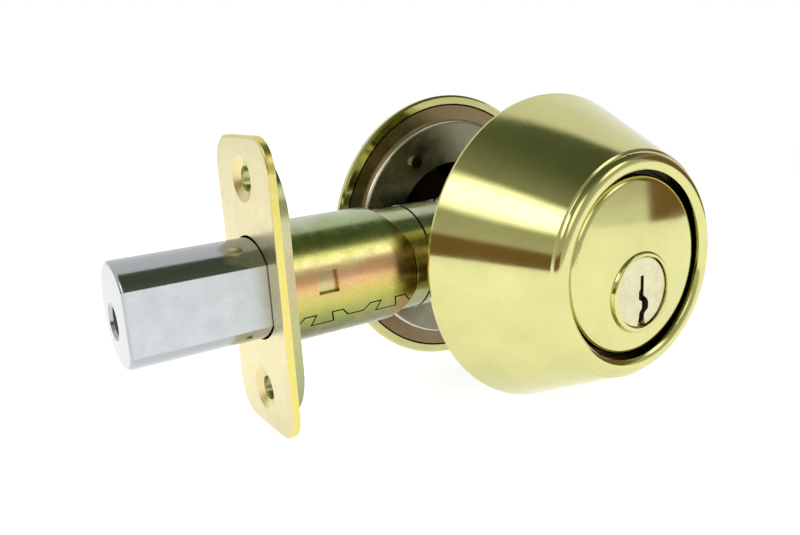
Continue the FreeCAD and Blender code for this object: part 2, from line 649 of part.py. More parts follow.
bolt_bar = overlap("bolt_bar", [
    rod("bolt_round", "bolt_r", "X", "-throw", "bolt_shoulder", "0", "0"),
    block("bolt_side", ("-throw", "bolt_shoulder"), ("-bolt_flat", "beyond"), THROUGH),
])
bolt_tongue = overlap("bolt_tongue", [
    rod("tongue_round", "tongue_r", "X", "0", "bolt_rear", "0", "0"),
    block("tongue_side", ("0", "bolt_rear"), ("-tongue_half", "tongue_half"), THROUGH),
])
bolt_blank = rounded("bolt_blank", join("bolt_joined", [bolt_bar, bolt_tongue]), size("bolt_edge"),
                     flat_at("X", -size("throw")))
TIP = ("tip_hole_y", "-tip_hole_drop")
BAR_PIN = ("bar_pin_x", "bar_pin_z")
bolt_cuts = [
    rod("tip_hole", "tip_hole_r", "X", "-beyond", "-throw + tip_hole_depth", *TIP),
    cone("tip_sink", "tip_hole_r + tip_sink", "tip_hole_r", "X", "-throw", "-throw + tip_sink", *TIP),
    block("bar_slot", ("bar_front - slide_gap", "beyond"), ("-bar_slot_half", "bar_slot_half"),
          ("bar_slot_low", "beyond")),
    rod("bolt_pin_hole", "bar_pin_r", "Y", *THROUGH, *BAR_PIN),
]
sub_part(cut("bolt_cut", bolt_blank, bolt_cuts), "bolt")
sub_part(rod("guard_pin", "tip_hole_r - guard_gap", "X", "-throw + guard_inset",
             "-throw + tip_hole_depth", *TIP), "saw_guard_pin")
sub_part(rod("bar_rivet", "bar_pin_r", "Y", "-tongue_half + bar_pin_inset", "tongue_half - bar_pin_inset",
             *BAR_PIN), "bar_pin")

# The drive bar is a folded strip: two cheeks, joined by a web at the bolt.
PIN_X = "backset - throw / 2"
DRIVE_PIN = (PIN_X, "pin_rise")
bar_solids = [block("bar_web", ("bar_front", "bar_web_end"), ("-bar_in - slide_gap", "bar_in + slide_gap"),
                    ("bar_low", "bar_low + bar_web_depth"))]
for name, cheek in (("outer", ("-bar_out", "-bar_in")), ("inner", ("bar_in", "bar_out"))):
    bar_solids.append(block("cheek_" + name, ("bar_front", PIN_X + " + bar_eye"), cheek,
                            ("bar_low", "bar_high")))
    bar_solids.append(block("cheek_eye_" + name, (PIN_X + " - bar_eye", PIN_X + " + bar_eye"), cheek,
                            ("bar_low", "bar_eye_high")))
bar_cuts = [
    rod("bar_pin_hole", "bar_pin_r", "Y", *THROUGH, *BAR_PIN),
    rod("drive_pin_hole", "drive_pin_r", "Y", *THROUGH, *DRIVE_PIN),
]
sub_part(cut("bar_cut", join("bar_joined", bar_solids), bar_cuts), "drive_bar")
sub_part(rod("drive_pin_rod", "drive_pin_r", "Y", "-bar_out - drive_pin_over", "bar_out + drive_pin_over",
             *DRIVE_PIN), "drive_pin")

# ---- Cam and tailpiece ---------------------------------------------------

TURN_AXIS = ("backset", "-drop")
CAM_OUT = "cam_slot_half + cam_rim"
NEARLY = " + 0.01"


def blade(name, start, end, gap="0"):
    """The tailpiece's flat section about the turning axis, larger by gap."""
    return block(name, ("backset - blade_half - (%s)" % gap, "backset + blade_half + (%s)" % gap),
                 (start, end), ("-drop - blade_wide - (%s)" % gap, "-drop + blade_wide + (%s)" % gap))


# The cam is drawn upright and leans 45 degrees towards the bolt when it is thrown.
cam_body = body("cam_body", x="backset", z="-drop")
cam_body.Placement = Placement(cam_body.Placement.Base, Rotation(Vector(0, 1, 0), -45))
padded(cam_body, "cam_plate", "XZ_Plane", [
    (CAM_OUT, "0"),
    (CAM_OUT, "cam_slot_out", CAM_OUT + NEARLY),
    ("-(%s)" % CAM_OUT, "cam_slot_out"),
    ("-(%s)" % CAM_OUT, "0", CAM_OUT + NEARLY),
], "2 * cam_half", midplane=True)
pocketed(cam_body, "cam_slot_cut", "XZ_Plane", [
    ("cam_slot_half", "cam_slot_in"),
    ("cam_slot_half", "cam_slot_out", "cam_slot_half" + NEARLY),
    ("-cam_slot_half", "cam_slot_out"),
    ("-cam_slot_half", "cam_slot_in", "cam_slot_half" + NEARLY),
], "4 * cam_half", midplane=True)
cam_journals = rod("cam_journals", "journal_r", "Y", "-case_half - journal_over", "case_half + journal_over",
                   *TURN_AXIS)
cam_blank = join("cam_joined", [cam_body, cam_journals])
sub_part(cut("cam_cut", cam_blank, [blade("blade_hole", *THROUGH, "slide_gap")]), "cam")
sub_part(join("tail_joined", [
    blade("tail_blade", "-blade_start", "door_half + blade_reach"),
    rod("tail_head", "tail_head_r", "Y", "-tail_head_y", "-tail_head_y + tail_head_depth", *TURN_AXIS),
]), "tailpiece")

# ---- Exterior: collar, cylinder, plug and pins ---------------------------

collar_body = body("collar_body", x="backset")
turned(collar_body, "collar_ring", "XY_Plane", [
    ("collar_r - collar_wall", "-door_half"),
    ("collar_r", "-door_half"),
    ("collar_r", "-door_half - collar_land"),
    ("groove_r + groove_depth", "-groove_y + groove_depth"),
    ("groove_r - groove_depth / 2", "-groove_y"),
    ("groove_r - groove_depth", "-groove_y - groove_depth / 2", "lip_round", -1),
    ("lip_in_r", "-groove_y - lip_rise"),
    ("lip_in_r", "-groove_y - lip_rise + lip_depth"),
    ("groove_r - collar_wall / 2", "-groove_y - lip_rise + lip_depth"),
])
sub_part(collar_body, "cylinder_collar")

# The cylinder: a domed front disc with a flange behind the collar's lip, a
# raised ring and a barrel round the plug, a tower for the pins and two tapped
# posts.  The dome and the disc's rounded edge meet smoothly.
DOME_Y = "(dome_r - disc_top)"
ROUND_AWAY = "sqrt((dome_r - disc_round) ^ 2 - (disc_r - disc_round) ^ 2)"
ROUND_Y = "(%s - %s)" % (DOME_Y, ROUND_AWAY)
TANGENT = "dome_r / (dome_r - disc_round)"
disc_body = body("disc_body", x="backset")
turned(disc_body, "disc_turned", "XY_Plane", [
    ("0", "-flange_back"),
    ("0", "-disc_top", "dome_r"),
    ("(disc_r - disc_round) * %s" % TANGENT, "%s - %s * %s" % (DOME_Y, ROUND_AWAY, TANGENT), "disc_round"),
    ("disc_r", ROUND_Y),
    ("disc_r", "-flange_front"),
    ("disc_r + flange_over", "-flange_front"),
    ("disc_r + flange_over", "-flange_back"),
])
ring_body = body("ring_body", x="backset", z="-drop")
turned(ring_body, "ring_turned", "XY_Plane", [
    ("plug_r", "-flange_back"),
    ("plug_r", "-ring_y"),
    ("ring_r - ring_round", "-ring_y", "ring_round"),
    ("ring_r", "-ring_y + ring_round"),
    ("ring_foot_r", "-ring_foot_y"),
    ("ring_foot_r", "-flange_back"),
])
housing_solids = [
    disc_body,
    ring_body,
    rod("barrel", "barrel_r", "Y", "-cover_front", "-barrel_back", *TURN_AXIS),
    block("tower", ("backset - tower_half", "backset + tower_half"), ("-cover_front", "-tower_back"),
          ("-drop + tower_foot", "tower_top")),
]
housing_cuts = [
    rod("plug_bore", "plug_r + run_gap", "Y", "-beyond", "0", *TURN_AXIS),
    rod("plug_head_bore", "plug_head_r + plug_head_gap", "Y", "-beyond",
        "-plug_y + plug_head_depth + run_gap", *TURN_AXIS),
    block("cover_groove", ("backset - cover_half", "backset + cover_half"), ("-cover_front", "0"),
          ("chamber_top", "beyond")),
]
for name, side in FRONT_AND_REAR:
    across = "backset + %d * screw_half" % side
    web = (across, "backset") if side < 0 else ("backset", across)
    housing_solids.append(rod("post_" + name, "post_r", "Y", "-post_front", "-post_back", across, "-drop"))
    housing_solids.append(block("post_web_" + name, web, ("-web_front", "-web_back"),
                                ("-drop - web_half", "-drop + web_half")))
    housing_cuts.append(rod("post_hole_" + name, "post_hole_r", "Y", "-post_front + post_floor", "0",
                            across, "-drop"))
CHAMBERS = ["-chamber_first + %d * chamber_pitch" % i for i in range(5)]
for i, y in enumerate(CHAMBERS):
    housing_cuts.append(rod("chamber%d" % i, "chamber_r", "Z", "-drop + tower_foot", "chamber_top",
                            "backset", y))
sub_part(cut("housing_cut", join("housing_joined", housing_solids), housing_cuts), "cylinder_housing")
sub_part(block("cover_strip", ("backset - cover_half", "backset + cover_half"),
               ("-cover_front", "-tower_back"), ("chamber_top", "tower_top")), "chamber_cover")

plug_solids = [
    rod("plug_round", "plug_r", "Y", "-plug_y + plug_edge", "-barrel_back", *TURN_AXIS),
    rounded("plug_head", rod("plug_head_blank", "plug_head_r", "Y", "-plug_y", "-plug_y + plug_head_depth",
                             *TURN_AXIS), size("plug_edge"), circle_at("Y", -size("plug_y"))),
    rod("plug_tail", "plug_tail_r", "Y", "-barrel_back", "-plug_tail_back", *TURN_AXIS),
]
# The keyway's section, about the plug's axis: a warded slot, open at the bottom.
keyway_body = body("keyway_body", x="backset", y="-keyway_back", z="-drop")
padded(keyway_body, "keyway", "XZ_Plane", [
    ("-0.4", "3.2"),
    ("-0.4", "0.6"),
    ("-0.8", "0.2"),
    ("-0.8", "-1.3"),
    ("0.1", "-1.9"),
    ("0.1", "-3.2"),
    ("-0.6", "-4.0"),
    ("-0.7", "-5.0"),
    ("-1.3", "-7.2"),
    ("1.3", "-7.2"),
    ("0.7", "-5.0"),
    ("0.9", "-4.2"),
    ("1.9", "-3.5"),
    ("1.9", "-2.2"),
    ("1.5", "-1.5"),
    ("0.5", "-0.7"),
    ("0.5", "3.2"),
], "plug_y - keyway_back + 1")
plug_cuts = [keyway_body, blade("tail_slot", "-plug_tail_back - tail_slot_depth", "0", "slide_gap")]
for i, y in enumerate(CHAMBERS):
    plug_cuts.append(rod("plug_chamber%d" % i, "chamber_r", "Z", "-drop + chamber_foot", "beyond",
                         "backset", y))
sub_part(cut("plug_cut", join("plug_joined", plug_solids), plug_cuts), "key_plug")

KEY_PIN_FEET = ["1.3", "0.7", "1.7", "0.5", "1.1"]
key_pins, driver_pins, springs = [], [], []
for i, (y, foot) in enumerate(zip(CHAMBERS, KEY_PIN_FEET)):
    spot = ("backset", y)
    key_pins.append(rod("key_pin%d" % i, "pin_r", "Z", "-drop + " + foot, "-drop + key_pin_top", *spot))
    driver_pins.append(rod("driver_pin%d" % i, "pin_r", "Z", "-drop + driver_foot", "-drop + driver_top",
                           *spot))
    coil = rod("spring_out%d" % i, "pin_r - spring_gap", "Z", "-drop + driver_top", "chamber_top", *spot)
    hollow = rod("spring_in%d" % i, "pin_r - spring_gap - spring_wall", "Z", *THROUGH, *spot)
    springs.append(cut("spring%d" % i, coil, [hollow]))
sub_part(join("key_pins_joined", key_pins), "key_pins")
sub_part(join("driver_pins_joined", driver_pins), "driver_pins")
sub_part(join("springs_joined", springs), "pin_springs")

cap_cuts = [
    rod("cap_bore", "plug_tail_r + cap_thread_gap", "Y", "-beyond", "-cap_floor", *TURN_AXIS),
    rod("cap_mouth", "cap_mouth_r", "Y", "-beyond", "0", *TURN_AXIS),
]
cap_blank = rod("cap_blank", "cap_r", "Y", "-cap_front", "-cap_back", *TURN_AXIS)
sub_part(cut("cap_cut", cap_blank, cap_cuts), "plug_cap")

# ---- Interior: rose, mounting plate and screws ----------------------------

ROSE_TOP = "door_half + rose_rise"
ROSE_CEILING = ROSE_TOP + " - rose_wall"
rose_body = body("rose_body", x="backset")
turned(rose_body, "rose_turned", "XY_Plane", [
    ("rose_in_r", "door_half"),
    ("rose_in_r", "door_half + rose_rim"),
    ("rose_crown_r", ROSE_CEILING),
    ("0", ROSE_CEILING),
    ("0", ROSE_TOP),
    ("rose_crown_r", ROSE_TOP, "rose_round", -1),
    ("rose_top_r", ROSE_TOP + " - 0.75 * rose_round"),
    ("rose_foot_r", "door_half + rose_bead_y + rose_bead"),
    ("rose_foot_r + rose_edge / 2", "door_half + rose_bead_y"),
    ("rose_r - rose_bead", "door_half + rose_bead_y", "rose_bead", -1),
    ("rose_r", "door_half + rose_bead_y - rose_bead"),
    ("rose_r", "door_half + rose_edge"),
    ("rose_r - rose_edge", "door_half"),
])
ROSE_SCREWS = [("backset + %d * rose_screw_away * cos(rose_screw_angle)" % sign,
                "%d * rose_screw_away * sin(rose_screw_angle)" % sign) for sign in (1, -1)]
rose_cuts = [rod("shaft_hole", "shaft_r + run_gap", "Y", *THROUGH, *TURN_AXIS)]
for i, spot in enumerate(ROSE_SCREWS):
    rose_cuts.append(rod("rose_hole%d" % i, "rose_hole_r", "Y", *THROUGH, *spot))
    rose_cuts.append(cone("rose_sink%d" % i, "rose_hole_r", "rose_sink_r", "Y", ROSE_CEILING, ROSE_TOP,
                          *spot))
sub_part(cut("rose_cut", rose_body, rose_cuts), "interior_rose")

PLATE_BACK = "door_half + plate_wall"
plate_body = body("plate_body", x="backset")
turned(plate_body, "plate_turned", "XY_Plane", [
    ("plate_hole_r", "door_half - plate_step"),
    ("plate_step_r - plate_round", "door_half - plate_step", "plate_round"),
    ("plate_step_r", "door_half - plate_step + plate_round"),
    ("plate_step_r", "door_half + plate_seat"),
    ("plate_r", "door_half + plate_seat"),
    ("plate_r", PLATE_BACK),
    ("plate_step_in_r", PLATE_BACK),
    ("plate_step_in_r", PLATE_BACK + " - plate_step"),
    ("plate_hole_r", PLATE_BACK + " - plate_step"),
])
plate_cuts = [rod("plate_tapped%d" % i, "rose_screw_r", "Y", *THROUGH, *spot)
              for i, spot in enumerate(ROSE_SCREWS)]
for name, side in FRONT_AND_REAR:
    plate_cuts.append(rod("plate_screw_hole_" + name, "screw_r + plate_screw_gap", "Y", *THROUGH,
                          "backset + %d * screw_half" % side, "-drop"))
sub_part(cut("plate_cut", plate_body, plate_cuts), "mounting_plate")

screws = []
HEAD_SEAT = PLATE_BACK + " - plate_step"
HEAD_TOP = HEAD_SEAT + " + screw_head"
for name, side in FRONT_AND_REAR:
    across = "backset + %d * screw_half" % side
    head_blank = rod("screw_head_blank_" + name, "screw_head_r", "Y", HEAD_SEAT, HEAD_TOP, across, "-drop")
    head = rounded("screw_head_" + name, head_blank, size("screw_head_round"),
                   circle_at("Y", number(HEAD_TOP)))
    slot = block("screw_slot_" + name, (across + " - slot_reach", across + " + slot_reach"),
                 (HEAD_SEAT + " + slot_floor", "beyond"), ("-drop - slot_half", "-drop + slot_half"))
    shank = rod("screw_shank_" + name, "screw_r", "Y", "-screw_end", HEAD_SEAT, across, "-drop")
    screws.append(join("screw_" + name, [cut("screw_top_" + name, head, [slot]), shank]))
sub_part(join("screws_joined", screws), "mounting_screws")

rose_screws = []
for i, spot in enumerate(ROSE_SCREWS):
    x, z = spot
    shank = rod("rose_shank%d" % i, "rose_screw_r", "Y", "rose_screw_end", ROSE_CEILING, *spot)
    head = cone("rose_head%d" % i, "rose_screw_r", "rose_screw_head_r", "Y", ROSE_CEILING, ROSE_TOP, *spot)
    slot = block("rose_slot%d" % i, (x + " - rose_sink_r", x + " + rose_sink_r"),
                 (ROSE_TOP + " - rose_slot_depth", "beyond"),
                 (z + " - rose_slot_half", z + " + rose_slot_half"))
    blank = join("rose_screw_blank%d" % i, [shank, head])
    rose_screws.append(cut("rose_screw%d" % i, blank, [slot]))
sub_part(join("rose_screws_joined", rose_screws), "rose_screws")

# ---- Thumbturn, its clip and its washer -----------------------------------

# The grip lies level while the bolt is thrown: a paddle with hollow flanks and
# a crowned top, rounded all over.
TURN_FOOT = ROSE_TOP + " + turn_gap"
TURN_TOP = ROSE_TOP + " + turn_rise"
TURN_SHOULDER = TURN_TOP + " - turn_crown"


def bow(half_length, rise):
    """The radius of an arc with this half length and rise."""
    return "((%s) ^ 2 + (%s) ^ 2) / (2 * (%s))" % (half_length, rise, rise)


paddle_body = body("paddle_body", x="backset", z="-drop")
padded(paddle_body, "paddle", "XY_Plane", [
    ("-turn_long", TURN_SHOULDER, bow("turn_long", "turn_crown"), -1),
    ("turn_long", TURN_SHOULDER),
    ("turn_long", TURN_SHOULDER + " - turn_foot", "turn_flank", -1),
    ("turn_neck", TURN_FOOT + " + turn_foot"),
    ("turn_neck", TURN_FOOT),
    ("-turn_neck", TURN_FOOT),
    ("-turn_neck", TURN_FOOT + " + turn_foot", "turn_flank", -1),
    ("-turn_long", TURN_SHOULDER + " - turn_foot"),
], "2 * turn_thick", midplane=True)
turn_solids = [
    paddle_body,
    rod("turn_foot", "turn_foot_r", "Y", TURN_FOOT, TURN_FOOT + " + turn_foot", *TURN_AXIS),
    rod("turn_shaft", "shaft_r", "Y", "door_half + shaft_start", TURN_FOOT + " + turn_foot / 2", *TURN_AXIS),
]
groove_start = "door_half + clip_groove_y"
clip_groove = cut("clip_groove", rod("groove_out", "clip_r", "Y", groove_start,
                                     groove_start + " + clip_groove_width", *TURN_AXIS),
                  [rod("groove_in", "shaft_r - clip_groove_depth", "Y", *THROUGH, *TURN_AXIS)])
FOOT_TOP = number(TURN_FOOT + " + turn_foot")
turn_blank = rounded("turn_blank", join("turn_joined", turn_solids), size("turn_round"),
                     lambda edge: edge.BoundBox.YMin > FOOT_TOP + size("turn_round") / 2)
turn_cuts = [blade("shaft_slot", "0", "door_half + shaft_slot_end", "slide_gap"), clip_groove]
sub_part(cut("turn_cut", turn_blank, turn_cuts), "thumbturn")

clip_blank = rod("clip_blank", "clip_r", "Y", groove_start + " + clip_gap",
                 groove_start + " + clip_groove_width - clip_gap", *TURN_AXIS)
clip_cuts = [
    rod("clip_hole", "shaft_r - clip_groove_depth + clip_gap", "Y", *THROUGH, *TURN_AXIS),
    block("clip_mouth", ("backset - clip_mouth_half", "backset + clip_mouth_half"), THROUGH,
          ("-beyond", "-drop - clip_mouth_start")),
]
sub_part(cut("clip_cut", clip_blank, clip_cuts), "thumbturn_clip")

WASHER_Y = "door_half + washer_y"
washer_blank = rod("washer_blank", "washer_r", "Y", WASHER_Y, WASHER_Y + " + washer_depth", *TURN_AXIS)
washer_hole = rod("washer_hole", "shaft_r + washer_gap", "Y", *THROUGH, *TURN_AXIS)
sub_part(cut("washer_cut", washer_blank, [washer_hole]), "spring_washer")

# ---- Check every object, then write the sub-parts -------------------------

doc.recompute()
for item in doc.Objects:
    problems = [state for state in item.State if state in ("Invalid", "Error")]
    assert not problems, "%s: %s" % (item.Name, item.State)
for item in parts:
    assert not item.Shape.isNull() and item.Shape.isValid(), item.Label
    assert item.Shape.Solids, item.Label

os.makedirs("parts", exist_ok=True)
for item in parts:
    item.Shape.exportStep("parts/%s.step" % item.Label)
    print("%-20s %2d solid(s) %10.1f mm3" % (item.Label, len(item.Shape.Solids), item.Shape.Volume))
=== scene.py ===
import json
import math

import bpy
from mathutils import Matrix, Vector


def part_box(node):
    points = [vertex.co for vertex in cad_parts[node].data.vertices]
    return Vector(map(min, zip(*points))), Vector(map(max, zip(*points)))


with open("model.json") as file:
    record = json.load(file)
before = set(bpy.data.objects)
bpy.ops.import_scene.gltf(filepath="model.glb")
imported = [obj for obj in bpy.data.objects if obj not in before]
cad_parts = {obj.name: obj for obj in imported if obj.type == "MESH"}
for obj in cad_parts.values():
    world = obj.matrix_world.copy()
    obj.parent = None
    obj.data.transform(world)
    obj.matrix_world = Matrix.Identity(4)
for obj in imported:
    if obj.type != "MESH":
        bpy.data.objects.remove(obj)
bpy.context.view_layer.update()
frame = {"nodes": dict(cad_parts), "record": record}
nodes = frame["nodes"]
MM = 0.001

# ---- Camera, floor and light ------------------------------------------------

AIM = Vector((0.0268, -0.010, 0.0007))
DISTANCE = 0.1458
AZIMUTH, ELEVATION, ROLL = (math.radians(angle) for angle in (-32.36, 14.04, -3.53))
LENS, SENSOR = 33.24, 36.0


def camera():
    """A camera turned about the aim by azimuth and elevation, then rolled."""
    back = Vector((math.sin(AZIMUTH) * math.cos(ELEVATION),
                   -math.cos(AZIMUTH) * math.cos(ELEVATION),
                   math.sin(ELEVATION)))
    right = Vector((math.cos(AZIMUTH), math.sin(AZIMUTH), 0))
    up = back.cross(right)
    rolled_right = right * math.cos(ROLL) + up * math.sin(ROLL)
    rolled_up = up * math.cos(ROLL) - right * math.sin(ROLL)
    turn = Matrix((rolled_right, rolled_up, back)).transposed().to_4x4()
    data = bpy.data.cameras.new("camera")
    data.lens = LENS
    data.sensor_width = SENSOR
    data.clip_start = 0.001
    view = bpy.data.objects.new("camera", data)
    view.matrix_world = Matrix.Translation(AIM + back * DISTANCE) @ turn
    bpy.context.scene.collection.objects.link(view)
    bpy.context.scene.camera = view


class Graph:
    """A node tree, with short calls that add a node and fill its inputs."""

    def __init__(self, tree, place):
        self.tree = tree
        self.place = self.add("ShaderNodeTexCoord").outputs[place]

    def fill(self, socket, value):
        if isinstance(value, bpy.types.NodeSocket):
            self.tree.links.new(value, socket)
        elif isinstance(value, tuple) and len(value) == 3 and len(socket.default_value) == 4:
            socket.default_value = (*value, 1)
        else:
            socket.default_value = value

    def add(self, kind, inputs=None, **settings):
        node = self.tree.nodes.new(kind)
        for name, value in settings.items():
            setattr(node, name, value)
        for name, value in (inputs or {}).items():
            self.fill(node.inputs[name], value)
        return node

    def span(self, value, low, high, to_low=0.0, to_high=1.0, smooth=False):
        """Map low..high to to_low..to_high, held at both ends."""
        kind = "SMOOTHSTEP" if smooth else "LINEAR"
        return self.add("ShaderNodeMapRange", {"Value": value, "From Min": low, "From Max": high,
                                               "To Min": to_low, "To Max": to_high},
                        interpolation_type=kind).outputs[0]

    def maths(self, operation, a, b=0.0):
        return self.add("ShaderNodeMath", {0: a, 1: b}, operation=operation).outputs[0]

    def blend(self, factor, a, b):
        """Colour a, turning to b as the factor goes from 0 to 1."""
        return self.add("ShaderNodeMix", {0: factor, 6: a, 7: b}, data_type="RGBA").outputs[2]

    def ramp(self, factor, stops):
        node = self.add("ShaderNodeValToRGB", {"Fac": factor})
        elements = node.color_ramp.elements
        while len(elements) < len(stops):
            elements.new(0.5)
        for element, (at, colour) in zip(elements, stops):
            element.position = at
            element.color = (*colour, 1)
        return node.outputs["Color"]

    def axis(self, name):
        """One coordinate: in metres for a material, -1 to 1 for the world."""
        return self.add("ShaderNodeSeparateXYZ", {0: self.place}).outputs[name]

    def towards(self, direction, inner, outer):
        """1 within an angle of a direction, fading to 0 at another, in degrees."""
        aim = Vector(direction).normalized()
        along = self.add("ShaderNodeVectorMath", {0: self.place, 1: tuple(aim)}, operation="DOT_PRODUCT")
        return self.span(along.outputs["Value"], math.cos(math.radians(outer)),
                         math.cos(math.radians(inner)), smooth=True)

    def noise(self, feature, detail=2.0, stretch=(1, 1, 1), rough=0.5):
        """Noise with features of a size in mm, longer along a stretched axis."""
        scale = tuple(1 / (feature * MM * s) for s in stretch)
        spot = self.add("ShaderNodeVectorMath", {0: self.place, 1: scale}, operation="MULTIPLY")
        return self.add("ShaderNodeTexNoise", {"Vector": spot.outputs[0], "Scale": 1.0, "Detail": detail,
                                               "Roughness": rough}).outputs[0]


# The floor's edges, in metres from the aim.  It ends early on the right, so that
# the disc mirrors the foot of the dark stand there.
FLOOR_LEFT, FLOOR_RIGHT = -1.5, 0.35
FLOOR_FRONT, FLOOR_BACK = -1.5, 1.5


def floor():
    """A plain pale floor, most of whose light is its own, so that the shadow on
    it stays faint and it runs into the white behind."""
    mesh = bpy.data.meshes.new("floor")
    low = min(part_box(n)[0].z for n in nodes)
    corners = [(FLOOR_LEFT, FLOOR_FRONT), (FLOOR_RIGHT, FLOOR_FRONT),
               (FLOOR_RIGHT, FLOOR_BACK), (FLOOR_LEFT, FLOOR_BACK)]
    mesh.from_pydata([(AIM.x + x, AIM.y + y, low) for x, y in corners], [], [(0, 1, 2, 3)])
    piece = bpy.data.objects.new("floor", mesh)
    bpy.context.scene.collection.objects.link(piece)
    material = bpy.data.materials.new("floor")
    material.use_nodes = True
    shader = material.node_tree.nodes["Principled BSDF"]
    shader.inputs["Base Color"].default_value = (0.50, 0.50, 0.50, 1)
    shader.inputs["Roughness"].default_value = 0.9
    shader.inputs["Emission Color"].default_value = (1, 1, 1, 1)
    shader.inputs["Emission Strength"].default_value = 0.84
    mesh.materials.append(material)


LAMP_SIZE, LAMP_WATTS = 0.5, 2.2
LAMP_OFFSET = Vector((-0.12, -0.10, 0.6))


def overhead_light():
    """One wide soft lamp for the floor.  The metal mirrors the studio instead."""
    data = bpy.data.lights.new("overhead", "AREA")
    data.shape = "DISK"
    data.size = LAMP_SIZE
    data.energy = LAMP_WATTS
    light = bpy.data.objects.new("overhead", data)
    light.location = AIM + LAMP_OFFSET
    light.rotation_euler = (light.location - AIM).to_track_quat("Z", "Y").to_euler()
    light.visible_glossy = False
    bpy.context.scene.collection.objects.link(light)


BROWN = (0.23, 0.13, 0.055)
# The vertical plane that bounds the stand on its left, by its normal
STAND_SIDE = (0.616, 0.788, 0)
# Each lamp: its direction, the angles within which it is full and gone, its strength
LAMPS = [
    ((-0.75, -0.03, 0.66), 2, 15, 3.0),
    ((0.46, -0.66, 0.59), 4, 15, 1.9),
    ((-0.35, -0.72, 0.60), 5, 20, 1.7),
]


def studio():
    """White behind the object.  What the metal mirrors is a pale room: dim
    overhead, a bright wall behind, a dark band and a soft lamp to the left, a
    dark stand in front to the right, and two more lamps in front."""
    world = bpy.data.worlds.new("studio")
    bpy.context.scene.world = world
    world.use_nodes = True
    world.node_tree.nodes.clear()
    g = Graph(world.node_tree, "Generated")
    depth, height = g.axis("Y"), g.axis("Z")
    room = g.ramp(g.span(height, -1, 1), [
        (0.0, (1.0, 1.0, 0.98)),
        (0.48, (0.95, 0.95, 0.92)),
        (0.51, (0.70, 0.67, 0.60)),
        (0.66, (0.54, 0.53, 0.44)),
        (0.85, (0.36, 0.37, 0.28)),
        (1.0, (0.24, 0.25, 0.18)),
    ])
    room = g.blend(g.towards((0.35, 0.05, 0.93), 12, 55), room, (0.10, 0.12, 0.07))
    back_wall = g.maths("MULTIPLY", g.span(depth, 0.205, 0.235), g.span(height, -0.02, 0.0))
    room = g.blend(back_wall, room, (0.95, 0.94, 0.92))
    band = g.maths("MULTIPLY", g.span(height, -0.04, -0.01), g.span(height, 0.25, 0.20))
    left_wall = g.maths("MULTIPLY", g.towards((-1, 0, 0.05), 38, 46), band)
    room = g.blend(left_wall, room, BROWN)
    right_of = g.add("ShaderNodeVectorMath", {0: g.place, 1: STAND_SIDE}, operation="DOT_PRODUCT")
    stand = g.maths("MULTIPLY", g.span(right_of.outputs["Value"], 0.0, 0.03), g.span(depth, 0.0, -0.1))
    stand = g.maths("MULTIPLY", stand, g.span(height, -0.16, -0.13))
    stand = g.maths("MULTIPLY", stand, g.span(height, 0.55, 0.40))
    room = g.blend(stand, room, BROWN)
    for aim, inner, outer, strength in LAMPS:
        room = g.blend(g.towards(aim, inner, outer), room, (strength, strength, 0.96 * strength))
    seen = g.add("ShaderNodeBackground", {"Color": (1.0, 1.0, 1.0)})
    mirrored = g.add("ShaderNodeBackground", {"Color": room})
    camera_ray = g.add("ShaderNodeLightPath").outputs["Is Camera Ray"]
    mix = g.add("ShaderNodeMixShader", {0: camera_ray, 1: mirrored.outputs[0], 2: seen.outputs[0]})
    g.add("ShaderNodeOutputWorld", {"Surface": mix.outputs[0]})


camera()
floor()
overhead_light()
studio()
bpy.context.scene.view_settings.view_transform = "Standard"

# ---- Materials --------------------------------------------------------------

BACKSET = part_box("cylinder_collar")[0].x / 2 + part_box("cylinder_collar")[1].x / 2
ROSE_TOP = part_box("interior_rose")[1].y
LIP_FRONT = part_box("cylinder_collar")[0].y
TUBE_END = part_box("latch_tube")[1].x


def metal(name):
    """A metal material's graph, with its shader."""
    material = bpy.data.materials.new(name)
    material.use_nodes = True
    g = Graph(material.node_tree, "Object")
    g.material = material
    g.shader = material.node_tree.nodes["Principled BSDF"]
    g.shader.inputs["Metallic"].default_value = 1
    return g


def tint(colour, amount):
    return tuple(c * amount for c in colour)


def finish(g, colour, roughness, bumps):
    """Join up a metal.  bumps are (noise, height in mm) pairs."""
    g.fill(g.shader.inputs["Base Color"], colour)
    g.fill(g.shader.inputs["Roughness"], roughness)
    normal = None
    for height, depth in bumps:
        inputs = {"Height": height, "Distance": depth * MM, "Strength": 1.0}
        if normal is not None:
            inputs["Normal"] = normal
        normal = g.add("ShaderNodeBump", inputs).outputs[0]
    g.fill(g.shader.inputs["Normal"], normal)
    return g.material


def speckled(g, colour, coarse, fine, depth=0.10):
    """A colour with cloudy patches and a fine speckle, in mm."""
    patches = g.span(g.noise(coarse, 3.0), 0.35, 0.65)
    cloud = g.blend(patches, tint(colour, 1 - depth), tint(colour, 1 + depth / 2))
    return g.blend(g.span(g.noise(fine, 1.0), 0.3, 0.7, 0.0, 0.5), cloud, tint(colour, 1 - 1.6 * depth))


def edge_highlight(g, axis, shade, colour):
    """Painted highlight: turn to a colour on the rims and sides of a plate that faces an axis."""
    normal = g.add("ShaderNodeTexCoord").outputs["Normal"]
    facing = g.add("ShaderNodeSeparateXYZ", {0: normal}).outputs[axis]
    return g.blend(g.span(g.maths("ABSOLUTE", facing), 0.97, 0.75), shade, colour)


BRASS = (0.62, 0.605, 0.265)
# Near-black painted shade for hollows and gaps that the light doesn't reach
PAINTED_SHADE = (0.020, 0.014, 0.007)


POLISH = 0.09  # mean roughness of the lacquered brass


